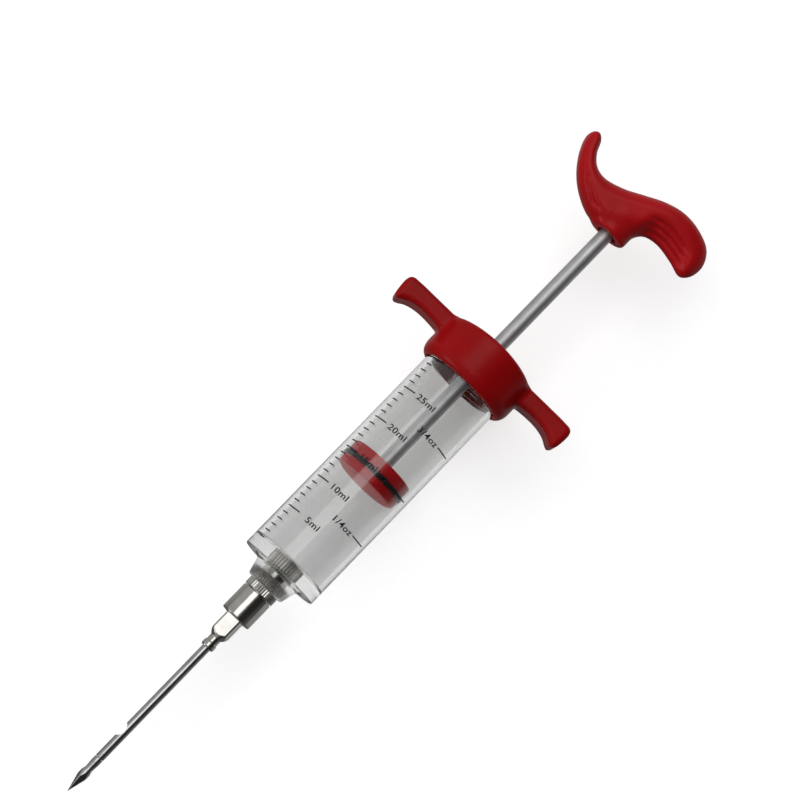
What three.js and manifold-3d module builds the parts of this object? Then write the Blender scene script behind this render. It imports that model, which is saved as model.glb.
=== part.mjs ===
// Meat injector: a 30 ml plunger syringe with a screw-on needle, a winged grip cap and an S-shaped palm handle.
// Millimetres, +Z up. The tool lies on its cap rim with its axis along X: needle at -X, handle at +X and the
// wings along Y. Every "station" is a distance along the axis from the barrel's flat front shoulder, positive
// towards the handle.
import * as THREE from 'three';
import { mergeVertices } from 'three/addons/utils/BufferGeometryUtils.js';
import Module from 'manifold-3d';

const wasm = await Module();
wasm.setup();

// ---------------------------------------------------------------- driving dimensions

const GAP = 0.3; // clearance between pieces that touch on the real object
const ROUND = 48; // sides of a large turned surface; a flat side, not an edge, faces straight down
const FINE = 24; // sides of a small turned surface

const barrel = {
  boreRadius: 11.45, // 2.43 mm of stroke per millilitre
  outerRadius: 13.2,
  end: 87.0, // open end, inside the cap
  floor: 4.2, // inner face of the chamber's front wall
  neckFront: -5.8,
  neckFrontRadius: 6.4,
  neckRootRadius: 7.7,
  neckFillet: 1.5,
  endChamfer: 0.5,
};

const capThread = { pitch: 1.5, majorRadius: 13.15, minorRadius: 12.5, start: 77.2, end: 86.2 };

const insert = {
  front: -8.5, // face that the needle hub screws up to
  headRear: -6.1,
  grooveStart: -1.9,
  grooveEnd: 0.4,
  rear: 3.9,
  headRadius: 5.2,
  bandRadius: 3.8,
  grooveRadius: 3.1,
  knurlDepth: 0.2,
  headTeeth: 40,
  bandTeeth: 34,
  boreRadius: 1.2,
};

const needleThread = { pitch: 1.25, majorRadius: 3.9, minorRadius: 3.25, start: -15.1, clearance: 0.3 };

const hub = {
  rear: insert.front - GAP,
  bodyFront: -18.15,
  bodyRadius: 5.1,
  bodyChamfer: 0.8,
  squareFront: -25.7,
  squareAcross: 5.4, // over the spanner flats
  squareCornerRadius: 3.5,
  squareTurn: THREE.MathUtils.degToRad(-17),
  neckRadius: 1.85,
  beadStart: -30.1,
  beadEnd: -27.9,
  beadRadius: 2.1,
  socketFloor: -16.9,
  socketRadius: 4.2,
};

const washer = { front: -16.6, rear: -15.4, outerRadius: 3.9, innerRadius: 1.5 };

const needle = {
  radius: 1.4,
  boreRadius: 1.0,
  tubeFront: -74.2,
  tubeRear: -16.95,
  portCentre: -63.85,
  portLength: 4.7,
  portFloor: 0.0, // the scallop is cut to the middle of the tube
  tip: -87.2,
  headRear: -79.7,
  headRadius: 1.55,
  waist: -78.4,
  waistRadius: 1.2,
  spigotRadius: 0.7,
  spigotEnd: -68.5,
};

const piston = {
  front: 36.34, // the plunger is drawn part of the way back, at about 13 ml
  grooveFront: 38.9,
  grooveRear: 40.7,
  rear: 44.25,
  radius: 10.75,
  grooveRadius: 9.4,
  noseBevel: 1.3,
  rearBevel: 0.5,
};

const seal = { ringRadius: 10.55, sectionRadius: 0.75 };

const rod = {
  radius: 2.35,
  front: 41.3,
  rear: 147.7,
  stubRadius: 1.7,
  frontStub: 38.4,
  rearStub: 153.0,
  socketClearance: 0.25,
};

const cap = {
  front: 77.1,
  back: 90.75, // flat back of the wings
  crownBack: 92.0, // back of the round middle, where it crowns highest
  rimRadius: 16.3,
  mouthRadius: 13.5, // clears the barrel by the usual gap
  lip: 13.8, // radius at which the rounded front edge starts
  lipBack: 81.0, // station where it reaches the rim
  backRound: 1.5,
  webFront: barrel.end + GAP,
  rodHoleRadius: 2.6,
  wingDepth: 12.0,
  wingBevel: 1.6,
};

const handle = {
  datum: 141.0, // station from which the outline is measured
  face: 141.55, // boss face that the rod enters
  bossRadius: 6.3,
  bossLength: 8.5,
  bossRound: 1.2,
  halfDepth: 7.0,
  reachLeft: 25.1,
  reachRight: 27.7,
  fullness: 12.0, // distance from the axis over which the broad arm keeps its depth
  bevel: 1.2,
  bevelDepth: 2.2,
};

const lengthMiddle = 37.83; // station halfway between the needle tip and the back of the handle

// ---------------------------------------------------------------- solids and booleans

// A closed three.js geometry as a solid: shared corners merged, collapsed triangles dropped.
function solid(geometry) {
  const bare = geometry.clone();
  for (const name of Object.keys(bare.attributes)) {
    if (name !== 'position') bare.deleteAttribute(name);
  }
  const merged = mergeVertices(bare, 1e-4);
  const index = merged.index.array;
  const triangles = [];
  for (let i = 0; i < index.length; i += 3) {
    const [a, b, c] = [index[i], index[i + 1], index[i + 2]];
    if (a !== b && b !== c && c !== a) triangles.push(a, b, c);
  }
  const vertProperties = new Float32Array(merged.attributes.position.array);
  const triVerts = new Uint32Array(triangles);
  return new wasm.Manifold(new wasm.Mesh({ numProp: 3, vertProperties, triVerts }));
}

function geometryOf(body) {
  const mesh = body.getMesh();
  const geometry = new THREE.BufferGeometry();
  geometry.setAttribute('position', new THREE.BufferAttribute(new Float32Array(mesh.vertProperties), 3));
  geometry.setIndex(new THREE.BufferAttribute(new Uint32Array(mesh.triVerts), 1));
  geometry.computeVertexNormals();
  return geometry;
}

// A solid turned about the X axis from [station, radius] points, listed from low to high station.
function turned(profile, sides = ROUND) {
  const points = profile.map(([station, radius]) => new THREE.Vector2(radius, station));
  const first = profile[0];
  const last = profile[profile.length - 1];
  if (first[1] > 0) points.unshift(new THREE.Vector2(0, first[0]));
  if (last[1] > 0) points.push(new THREE.Vector2(0, last[0]));
  const geometry = new THREE.LatheGeometry(points, sides, Math.PI / sides);
  geometry.rotateZ(-Math.PI / 2);
  return solid(geometry);
}

function cylinder(start, end, radius, sides = FINE) {
  return turned([[start, radius], [end, radius]], sides);
}

// Points [station, radius] on a quarter ellipse from one corner to the other, bulging outwards.
function quarterRound([x0, r0], [x1, r1], steps) {
  const rising = r1 > r0;
  return Array.from({ length: steps + 1 }, (_, i) => {
    const angle = (i / steps) * (Math.PI / 2);
    const along = rising ? 1 - Math.cos(angle) : Math.sin(angle);
    const out = rising ? Math.sin(angle) : 1 - Math.cos(angle);
    return [x0 + (x1 - x0) * along, r0 + (r1 - r0) * out];
  });
}

// A right-hand screw thread about the X axis: a solid core whose radius waves once per pitch.
function thread({ pitch, majorRadius, minorRadius, start, end }, sides, samplesPerPitch) {
  const rows = Math.round(((end - start) / pitch) * samplesPerPitch);
  const mean = (majorRadius + minorRadius) / 2;
  const wave = (majorRadius - minorRadius) / 2;
  const positions = [start, 0, 0, end, 0, 0];
  const corner = (row, side) => 2 + row * sides + (side % sides);
  for (let row = 0; row <= rows; row += 1) {
    const x = start + ((end - start) * row) / rows;
    for (let side = 0; side < sides; side += 1) {
      const angle = (2 * Math.PI * (side + 0.5)) / sides;
      const radius = mean + wave * Math.cos(2 * Math.PI * (x / pitch) - angle);
      positions.push(x, radius * Math.cos(angle), radius * Math.sin(angle));
    }
  }
  const index = [];
  for (let side = 0; side < sides; side += 1) {
    index.push(0, corner(0, side + 1), corner(0, side));
    index.push(1, corner(rows, side), corner(rows, side + 1));
    for (let row = 0; row < rows; row += 1) {
      const [a, b] = [corner(row, side), corner(row, side + 1)];
      const [c, d] = [corner(row + 1, side), corner(row + 1, side + 1)];
      index.push(a, b, d, a, d, c);
    }
  }
  const geometry = new THREE.BufferGeometry();
  geometry.setAttribute('position', new THREE.Float32BufferAttribute(positions, 3));
  geometry.setIndex(index);
  return solid(geometry);
}

// A straight-knurled band: a toothed outline extruded along the X axis.
function knurl(start, end, radius, depth, teeth) {
  const outline = new THREE.Shape();
  for (let i = 0; i < teeth * 2; i += 1) {
    const angle = (Math.PI * i) / teeth;
    const r = i % 2 ? radius - depth : radius;
    if (i === 0) outline.moveTo(r, 0);
    else outline.lineTo(r * Math.cos(angle), r * Math.sin(angle));
  }
  const geometry = new THREE.ExtrudeGeometry(outline, { depth: end - start, bevelEnabled: false });
  geometry.rotateY(Math.PI / 2);
  geometry.translate(start, 0, 0);
  return solid(geometry);
}

// A plate in the XY plane, centred on z = 0, with rounded edges that stay inside the outline.
function plate(shape, depth, bevel, bevelDepth, curveSegments) {
  const geometry = new THREE.ExtrudeGeometry(shape, {
    depth: depth - 2 * bevelDepth,
    bevelEnabled: true,
    bevelSize: bevel,
    bevelOffset: -bevel,
    bevelThickness: bevelDepth,
    bevelSegments: 3,
    curveSegments,
  });
  geometry.translate(0, 0, bevelDepth - depth / 2);
  return solid(geometry);
}

function mesh(name, body, colour, roughness, metalness, extra = {}) {
  const material = new THREE.MeshStandardMaterial({ color: colour, roughness, metalness, ...extra });
  const part = new THREE.Mesh(geometryOf(body), material);
  part.name = name;
  return part;
}

// ---------------------------------------------------------------- clear barrel

function makeBarrel() {
  const b = barrel;
  const shoulder = [];
  const filletSteps = 4;
  for (let i = 0; i <= filletSteps; i += 1) {
    const angle = (i / filletSteps) * (Math.PI / 2);
    const x = -b.neckFillet * (1 - Math.sin(angle));
    const r = b.neckRootRadius + b.neckFillet * (1 - Math.cos(angle));
    shoulder.push([x, r]);
  }
  const outside = turned([
    [b.neckFront, b.neckFrontRadius - 0.5],
    [b.neckFront + 0.5, b.neckFrontRadius],
    ...shoulder,
    [0, b.outerRadius - b.endChamfer],
    [b.endChamfer, b.outerRadius],
    [capThread.start - 1.2, b.outerRadius],
    [capThread.start - 0.6, capThread.minorRadius],
    [b.end - b.endChamfer, capThread.minorRadius],
    [b.end, capThread.minorRadius - b.endChamfer],
  ]);
  const chamber = turned([
    [b.floor, b.boreRadius - 0.8],
    [b.floor + 0.25, b.boreRadius - 0.25],
    [b.floor + 0.8, b.boreRadius],
    [b.end + 1, b.boreRadius],
  ]);
  const insertPocket = turned([
    [b.neckFront - 1, insert.bandRadius + GAP],
    [insert.grooveStart + GAP, insert.bandRadius + GAP],
    [insert.grooveStart + GAP, insert.grooveRadius + GAP],
    [insert.grooveEnd - GAP, insert.grooveRadius + GAP],
    [insert.grooveEnd - GAP, insert.bandRadius + GAP],
    [b.floor + 0.5, insert.bandRadius + GAP],
  ], FINE);
  const body = outside.add(thread(capThread, ROUND, 4)).subtract(chamber).subtract(insertPocket);
  return mesh('barrel', body, 0xdfe6e8, 0.08, 0.0, { transparent: true, opacity: 0.35 });
}

// ---------------------------------------------------------------- metal outlet and needle

// The outlet is moulded into the neck by two knurled bands with a groove between. A knurled head stands in
// front of the neck, and the threaded nozzle in front of that.
function makeOutletInsert() {
  const i = insert;
  const nozzleTip = needleThread.start;
  const core = turned([
    [nozzleTip, needleThread.minorRadius - 0.6],
    [nozzleTip + 0.6, needleThread.minorRadius - 0.05],
    [i.front, needleThread.minorRadius - 0.05],
    [i.front, i.headRadius - i.knurlDepth],
    [i.headRear, i.headRadius - i.knurlDepth],
    [i.headRear, i.bandRadius - i.knurlDepth],
    [i.grooveStart, i.bandRadius - i.knurlDepth],
    [i.grooveStart, i.grooveRadius],
    [i.grooveEnd, i.grooveRadius],
    [i.grooveEnd, i.bandRadius - i.knurlDepth],
    [i.rear, i.bandRadius - i.knurlDepth],
  ], FINE);
  const nozzle = thread({ ...needleThread, start: nozzleTip + 0.5, end: i.front + 0.2 }, FINE, 5);
  const body = core
    .add(nozzle)
    .add(knurl(i.front, i.headRear, i.headRadius, i.knurlDepth, i.headTeeth))
    .add(knurl(i.headRear - 0.2, i.grooveStart, i.bandRadius, i.knurlDepth, i.bandTeeth))
    .add(knurl(i.grooveEnd, i.rear, i.bandRadius, i.knurlDepth, i.bandTeeth))
    .subtract(cylinder(nozzleTip - 1, i.rear + 1, i.boreRadius, 20));
  return mesh('outlet_insert', body, 0xc9c9c4, 0.25, 1.0);
}

function makeNeedleWasher() {
  const w = washer;
  const body = cylinder(w.front, w.rear, w.outerRadius, FINE)
    .subtract(cylinder(w.front - 1, w.rear + 1, w.innerRadius, 20));
  return mesh('needle_washer', body, 0xe8e4dc, 0.6, 0.0);
}

// The hub: smooth cylinder with the female thread, a square for a spanner, and a beaded neck round the tube.
function makeNeedleHub() {
  const h = hub;
  const clearance = needleThread.clearance;
  const cylinderPart = turned([
    [h.bodyFront, h.bodyRadius - h.bodyChamfer],
    [h.bodyFront + h.bodyChamfer, h.bodyRadius],
    [h.rear - 0.3, h.bodyRadius],
    [h.rear, h.bodyRadius - 0.3],
  ], ROUND);
  const squareLength = h.bodyFront - h.squareFront + 1;
  const squareBar = new THREE.BoxGeometry(squareLength, h.squareAcross, h.squareAcross);
  squareBar.rotateX(h.squareTurn);
  squareBar.translate(h.squareFront + squareLength / 2, 0, 0);
  const squareEnvelope = turned([
    [h.squareFront, h.squareCornerRadius * 0.62],
    [h.squareFront + 1.2, h.squareCornerRadius],
    [h.bodyFront + 2, h.squareCornerRadius],
  ], FINE);
  const neck = turned([
    [h.beadStart, h.beadRadius - 0.25],
    [h.beadStart + 0.4, h.beadRadius],
    [h.beadEnd - 0.4, h.beadRadius],
    [h.beadEnd, h.neckRadius],
    [h.squareFront + 0.5, h.neckRadius],
  ], 24);
  const socket = turned([
    [h.socketFloor, h.socketRadius],
    [needleThread.start - 0.2, h.socketRadius],
    [needleThread.start + 0.3, needleThread.minorRadius + clearance],
    [h.rear - 0.6, needleThread.minorRadius + clearance],
    [h.rear + 1, needleThread.majorRadius + clearance + 0.5],
  ], FINE);
  const femaleThread = thread({
    pitch: needleThread.pitch,
    majorRadius: needleThread.majorRadius + clearance,
    minorRadius: needleThread.minorRadius + clearance,
    start: needleThread.start,
    end: h.rear + 0.5,
  }, FINE, 5);
  const body = cylinderPart
    .add(solid(squareBar).intersect(squareEnvelope))
    .add(neck)
    .subtract(socket)
    .subtract(femaleThread)
    .subtract(cylinder(h.beadStart - 1, h.socketFloor + 1, needle.radius + 0.25, 24));
  return mesh('needle_hub', body, 0xd2d2ce, 0.2, 1.0);
}

function makeNeedleTube() {
  const n = needle;
  const depth = n.radius - n.portFloor;
  const scallopRadius = ((n.portLength / 2) ** 2 + depth ** 2) / (2 * depth);
  const scallop = new THREE.CylinderGeometry(scallopRadius, scallopRadius, 4 * n.radius, 24);
  scallop.rotateX(Math.PI / 2);
  scallop.translate(n.portCentre, n.portFloor + scallopRadius, 0);
  const body = cylinder(n.tubeFront, n.tubeRear, n.radius, 24)
    .subtract(cylinder(n.tubeFront - 1, n.tubeRear + 1, n.boreRadius, 16))
    .subtract(solid(scallop));
  return mesh('needle_tube', body, 0xc4c6c8, 0.18, 1.0);
}

// The solid point: four ground facets, a slight waist, and a spigot pressed into the tube.
function makeNeedlePoint() {
  const n = needle;
  const headLength = n.headRear - n.tip;
  const facets = new THREE.ConeGeometry(n.headRadius * 1.45, headLength, 4);
  facets.rotateZ(Math.PI / 2);
  facets.rotateX(Math.PI / 8);
  facets.translate(n.tip + headLength / 2, 0, 0);
  const headEnvelope = turned([
    [n.tip, 0],
    [n.headRear - 1.8, n.headRadius],
    [n.headRear, n.headRadius],
  ], 24);
  const shank = turned([
    [n.headRear - 0.6, n.headRadius * 0.9],
    [n.waist, n.waistRadius],
    [n.tubeFront - 1.2, n.radius],
    [n.tubeFront - 0.2, n.radius],
    [n.tubeFront - 0.2, n.spigotRadius],
    [n.spigotEnd, n.spigotRadius],
  ], 24);
  const body = solid(facets).intersect(headEnvelope).add(shank);
  return mesh('needle_point', body, 0xbfc1c3, 0.2, 1.0);
}

// ---------------------------------------------------------------- plunger

function makePiston() {
  const p = piston;
  const body = turned([
    [p.front, p.radius - p.noseBevel],
    [p.front + p.noseBevel * 0.7, p.radius],
    [p.grooveFront, p.radius],
    [p.grooveFront, p.grooveRadius],
    [p.grooveRear, p.grooveRadius],
    [p.grooveRear, p.radius],
    [p.rear - p.rearBevel, p.radius],
    [p.rear, p.radius - p.rearBevel],
  ])
    .subtract(cylinder(rod.front - GAP, p.rear + 1, rod.radius + rod.socketClearance))
    .subtract(cylinder(rod.frontStub - GAP, rod.front + 1, rod.stubRadius + GAP));
  return mesh('piston', body, 0xa3161c, 0.3, 0.0);
}

function makeSealRing() {
  const middle = (piston.grooveFront + piston.grooveRear) / 2;
  const ring = new THREE.TorusGeometry(seal.ringRadius, seal.sectionRadius, 10, ROUND);
  ring.rotateY(Math.PI / 2);
  ring.rotateX(Math.PI / ROUND);
  ring.translate(middle, 0, 0);
  return mesh('piston_o_ring', solid(ring), 0x151515, 0.5, 0.0);
}

function makeRod() {
  const r = rod;
  const body = turned([
    [r.frontStub, r.stubRadius - 0.3],
    [r.frontStub + 0.3, r.stubRadius],
    [r.front, r.stubRadius],
    [r.front, r.radius],
    [r.rear, r.radius],
    [r.rear, r.stubRadius],
    [r.rearStub - 0.3, r.stubRadius],
    [r.rearStub, r.stubRadius - 0.3],
  ], FINE);
  return mesh('plunger_rod', body, 0xb9bcbe, 0.22, 1.0);
}

// The palm handle: an S in the XY plane. One arm is thin and curls back, the other is broad and blunt.
function makeHandle() {
  const h = handle;
  const outlinePoints = [
    [0.6, 3.0], [0.7, 6.5], [2.0, 11.0], [6.6, 18.0], [12.9, 23.0], [18.3, 25.0],
    [20.6, 24.3], [21.3, 22.6], [20.1, 20.8],
    [16.2, 18.9], [13.4, 16.2], [12.4, 12.6], [14.1, 6.1], [17.2, 0.0], [20.2, -6.1],
    [21.8, -12.3], [21.3, -18.8], [18.6, -25.0],
    [14.0, -27.6], [9.3, -27.0], [7.0, -24.6],
    [8.2, -19.4], [9.2, -13.3], [8.3, -8.8], [5.3, -5.6], [3.0, -1.0],
  ];
  const loop = new THREE.CatmullRomCurve3(
    outlinePoints.map(([x, y]) => new THREE.Vector3(h.datum + x, y, 0)), true, 'centripetal');
  const outline = new THREE.Shape(loop.getPoints(84).slice(0, -1).map((p) => new THREE.Vector2(p.x, p.y)));
  const arms = plate(outline, 2 * h.halfDepth, h.bevel, h.bevelDepth, 1);

  // Seen along the axis the handle is a long rounded lozenge, so the arms thin out towards their ends.
  const lozenge = new THREE.Shape();
  lozenge.moveTo(0, h.halfDepth);
  lozenge.quadraticCurveTo(h.reachLeft, h.halfDepth, h.reachLeft, 0);
  lozenge.quadraticCurveTo(h.reachLeft, -h.halfDepth, 0, -h.halfDepth);
  lozenge.bezierCurveTo(-h.fullness, -h.halfDepth, -h.reachRight, -h.halfDepth, -h.reachRight - 0.4, 0);
  lozenge.bezierCurveTo(-h.reachRight, h.halfDepth, -h.fullness, h.halfDepth, 0, h.halfDepth);
  const palmDepth = 40; // longer than the handle is along the axis
  const palmView = new THREE.ExtrudeGeometry(
    lozenge, { depth: palmDepth, bevelEnabled: false, curveSegments: 10 });
  palmView.rotateX(Math.PI / 2);
  palmView.rotateZ(Math.PI / 2);
  palmView.translate(h.face - 5, 0, 0);

  const boss = turned([
    [h.face, h.bossRadius - h.bossRound],
    [h.face + 0.35, h.bossRadius - 0.35],
    [h.face + h.bossRound, h.bossRadius],
    [h.face + h.bossLength, h.bossRadius],
  ], 40);
  const body = arms
    .intersect(solid(palmView))
    .add(boss)
    .subtract(cylinder(h.face - 1, rod.rear + GAP, rod.radius + rod.socketClearance))
    .subtract(cylinder(rod.rear, rod.rearStub + GAP, rod.stubRadius + GAP));
  return mesh('handle', body, 0xb31a20, 0.25, 0.0);
}

// ---------------------------------------------------------------- winged grip cap

// Half outline of the two wings, mirrored about the axis: hollow on the finger side, flat on the handle side.
function wingShape() {
  const c = cap;
  const half = [
    [84.2, 14.0], [84.9, 19.0], [84.9, 25.0], [84.0, 28.6], [82.7, 30.9],
    [82.4, 31.9], [83.2, 32.8], [86.0, 33.4], [88.8, 33.4], [90.1, 32.8], [90.6, 31.6],
  ];
  const edge = new THREE.SplineCurve(half.map(([x, y]) => new THREE.Vector2(x, y)));
  const root = [new THREE.Vector2(c.back, 0), new THREE.Vector2(half[0][0], 0)];
  return new THREE.Shape([...root, ...edge.getPoints(24), new THREE.Vector2(c.back, 28.0)]);
}

// The space in front of the cap's back face, which is crowned across the wings.
function crownedSpace() {
  const c = cap;
  const halfWidth = c.rimRadius + 1;
  const steps = 16;
  const slab = new THREE.Shape();
  slab.moveTo(c.front - 1, halfWidth);
  slab.lineTo(c.front - 1, -halfWidth);
  for (let i = 0; i <= steps; i += 1) {
    const y = halfWidth * ((2 * i) / steps - 1);
    slab.lineTo(c.crownBack - (c.crownBack - c.back) * (y / c.rimRadius) ** 2, y);
  }
  const geometry = new THREE.ExtrudeGeometry(slab, { depth: 2 * halfWidth, bevelEnabled: false });
  geometry.translate(0, 0, -halfWidth);
  return solid(geometry);
}

function makeCap() {
  const c = cap;
  const disc = turned([
    ...quarterRound([c.front, c.lip], [c.lipBack, c.rimRadius], 6),
    ...quarterRound([c.crownBack - c.backRound, c.rimRadius], [c.crownBack, c.rimRadius - c.backRound], 3),
  ]);
  const wing = plate(wingShape(), c.wingDepth, c.wingBevel * 0.4, c.wingBevel, 5);
  const socket = cylinder(c.front - 1, c.webFront, c.mouthRadius, ROUND);
  const body = disc
    .intersect(crownedSpace())
    .add(wing)
    .add(wing.mirror([0, 1, 0]))
    .subtract(socket)
    .subtract(cylinder(c.webFront - 1, c.crownBack + 1, c.rodHoleRadius));
  return mesh('grip_cap', body, 0xa9161b, 0.28, 0.0);
}

// ---------------------------------------------------------------- assembly

const injector = new THREE.Group();
injector.add(
  makeBarrel(),
  makeOutletInsert(),
  makeNeedleWasher(),
  makeNeedleHub(),
  makeNeedleTube(),
  makeNeedlePoint(),
  makePiston(),
  makeSealRing(),
  makeRod(),
  makeHandle(),
  makeCap(),
);
const axisHeight = cap.rimRadius * Math.cos(Math.PI / ROUND);
injector.position.set(-lengthMiddle, 0, axisHeight);

export default injector;
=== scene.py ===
import math

import bmesh
import bpy
import numpy as np
from mathutils import Matrix, Vector


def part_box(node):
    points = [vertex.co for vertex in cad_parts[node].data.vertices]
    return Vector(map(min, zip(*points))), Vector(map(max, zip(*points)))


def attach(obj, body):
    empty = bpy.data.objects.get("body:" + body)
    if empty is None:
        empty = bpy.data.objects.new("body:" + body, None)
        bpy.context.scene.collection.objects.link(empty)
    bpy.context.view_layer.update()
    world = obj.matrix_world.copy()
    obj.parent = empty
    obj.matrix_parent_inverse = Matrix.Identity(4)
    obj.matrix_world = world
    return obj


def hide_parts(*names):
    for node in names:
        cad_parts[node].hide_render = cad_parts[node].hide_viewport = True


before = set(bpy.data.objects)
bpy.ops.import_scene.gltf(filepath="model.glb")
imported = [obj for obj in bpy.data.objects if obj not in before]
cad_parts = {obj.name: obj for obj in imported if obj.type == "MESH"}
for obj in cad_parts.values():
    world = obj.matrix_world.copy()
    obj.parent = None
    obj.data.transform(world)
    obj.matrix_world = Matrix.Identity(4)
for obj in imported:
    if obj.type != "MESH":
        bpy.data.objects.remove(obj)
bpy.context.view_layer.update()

MM = 0.001
NECK_LENGTH = 5.8  # of the barrel, in front of its shoulder
barrel_low, barrel_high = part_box("barrel")
ORIGIN = np.array([
    barrel_low.x + NECK_LENGTH * MM,
    (barrel_low.y + barrel_high.y) / 2,
    (barrel_low.z + barrel_high.z) / 2,
])


def place(points):
    """Station coordinates in millimetres to the part's frame in metres."""
    return np.asarray(points, float) * MM + ORIGIN


def linked(name, data):
    """A new object in the scene."""
    made = bpy.data.objects.new(name, data)
    bpy.context.scene.collection.objects.link(made)
    return made


# ---------------------------------------------------------------- materials


def new_material(name):
    """A node material, with its nodes, links and shader."""
    material = bpy.data.materials.new(name)
    material.use_nodes = True
    nodes = material.node_tree.nodes
    return material, nodes, material.node_tree.links, nodes["Principled BSDF"]


def pattern(nodes, links, scale, detail, stretch=(1.0, 1.0, 1.0), roughness=0.55):
    """A noise factor in object space, stretched along the axes."""
    coordinates = nodes.new("ShaderNodeTexCoord")
    mapping = nodes.new("ShaderNodeMapping")
    mapping.inputs["Scale"].default_value = stretch
    noise = nodes.new("ShaderNodeTexNoise")
    noise.inputs["Scale"].default_value = scale
    noise.inputs["Detail"].default_value = detail
    noise.inputs["Roughness"].default_value = roughness
    links.new(coordinates.outputs["Object"], mapping.inputs["Vector"])
    links.new(mapping.outputs["Vector"], noise.inputs["Vector"])
    return noise.outputs["Fac"]


def ramp(nodes, links, factor, stops):
    """A colour ramp: stops are (position, colour)."""
    node = nodes.new("ShaderNodeValToRGB")
    elements = node.color_ramp.elements
    while len(elements) < len(stops):
        elements.new(0.5)
    for element, (position, colour) in zip(elements, stops):
        element.position = position
        element.color = (*colour, 1.0)
    links.new(factor, node.inputs["Fac"])
    return node.outputs["Color"]


def remap(nodes, links, value, low, high, new_low=0.0, new_high=1.0):
    """Maps low to high onto new_low to new_high, and stays there beyond them."""
    node = nodes.new("ShaderNodeMapRange")
    node.inputs["From Min"].default_value = low
    node.inputs["From Max"].default_value = high
    node.inputs["To Min"].default_value = new_low
    node.inputs["To Max"].default_value = new_high
    links.new(value, node.inputs["Value"])
    return node.outputs["Result"]


def spread(nodes, links, factor, low, high):
    """Maps the usual range of a noise factor onto low to high."""
    return remap(nodes, links, factor, 0.3, 0.7, low, high)


def bump(nodes, links, shader, height, distance, strength):
    """Raises the surface by distance, in metres, where the height factor is 1."""
    node = nodes.new("ShaderNodeBump")
    node.inputs["Distance"].default_value = distance
    node.inputs["Strength"].default_value = strength
    links.new(height, node.inputs["Height"])
    links.new(node.outputs["Normal"], shader.inputs["Normal"])


def moulded_plastic(name, dark, light, roughness):
    """Satin injection-moulded plastic: slight colour drift, orange peel, fine handling scuffs."""
    material, nodes, links, shader = new_material(name)
    drift = pattern(nodes, links, 55.0, 3.0)
    links.new(ramp(nodes, links, drift, [(0.3, dark), (0.7, light)]), shader.inputs["Base Color"])
    scuffs = pattern(nodes, links, 900.0, 6.0, (1.0, 0.35, 1.0), 0.7)
    worn = spread(nodes, links, scuffs, roughness - 0.06, roughness + 0.08)
    links.new(worn, shader.inputs["Roughness"])
    peel = pattern(nodes, links, 420.0, 2.0)
    bump(nodes, links, shader, peel, 0.00006, 0.5)
    shader.inputs["IOR"].default_value = 1.5
    shader.inputs["Specular IOR Level"].default_value = 0.1
    return material


def brushed_metal(name, dark, light, low, high, stretch, scale):
    """Metal with slight tarnish and fine directional scratches, its roughness between low and high."""
    material, nodes, links, shader = new_material(name)
    tarnish = pattern(nodes, links, 160.0, 5.0)
    links.new(ramp(nodes, links, tarnish, [(0.3, dark), (0.72, light)]), shader.inputs["Base Color"])
    shader.inputs["Metallic"].default_value = 1.0
    scratches = pattern(nodes, links, scale, 6.0, stretch, 0.65)
    links.new(spread(nodes, links, scratches, low, high), shader.inputs["Roughness"])
    bump(nodes, links, shader, scratches, 0.00001, 0.6)
    return material


HAZE_START, HAZE_END = -2.5, -0.3  # stations between which the haze of the neck fades out
HAZE = 0.24  # roughness that it adds


def clear_plastic():
    """Clear plastic, faintly grey, with flow ripples and scuffs, hazy at the neck where it was gated."""
    material, nodes, links, shader = new_material("clear_plastic")
    tint = pattern(nodes, links, 40.0, 2.0)
    stops = [(0.3, (0.65, 0.655, 0.65)), (0.7, (0.71, 0.715, 0.71))]
    links.new(ramp(nodes, links, tint, stops), shader.inputs["Base Color"])
    shader.inputs["Transmission Weight"].default_value = 1.0
    shader.inputs["IOR"].default_value = 1.49
    scuffs = pattern(nodes, links, 700.0, 6.0, (1.0, 1.0, 1.0), 0.75)
    coordinates = nodes.new("ShaderNodeTexCoord")
    split = nodes.new("ShaderNodeSeparateXYZ")
    links.new(coordinates.outputs["Object"], split.inputs["Vector"])
    clear, hazy = ORIGIN[0] + HAZE_END * MM, ORIGIN[0] + HAZE_START * MM
    haze = remap(nodes, links, split.outputs["X"], clear, hazy, 0.0, HAZE)
    total = nodes.new("ShaderNodeMath")
    links.new(spread(nodes, links, scuffs, 0.01, 0.07), total.inputs[0])
    links.new(haze, total.inputs[1])
    links.new(total.outputs["Value"], shader.inputs["Roughness"])
    flow = pattern(nodes, links, 70.0, 1.0, (0.25, 1.0, 1.0))
    bump(nodes, links, shader, flow, 0.00006, 0.35)
    return material


def matt(name, dark, light, low, high, grain):
    """Rubber or ink: dull, with a speckle of the given scale."""
    material, nodes, links, shader = new_material(name)
    speckle = pattern(nodes, links, grain, 5.0)
    links.new(ramp(nodes, links, speckle, [(0.3, dark), (0.7, light)]), shader.inputs["Base Color"])
    links.new(spread(nodes, links, speckle, low, high), shader.inputs["Roughness"])
    shader.inputs["Specular IOR Level"].default_value = 0.12
    bump(nodes, links, shader, speckle, 0.00003, 0.5)
    return material


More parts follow.
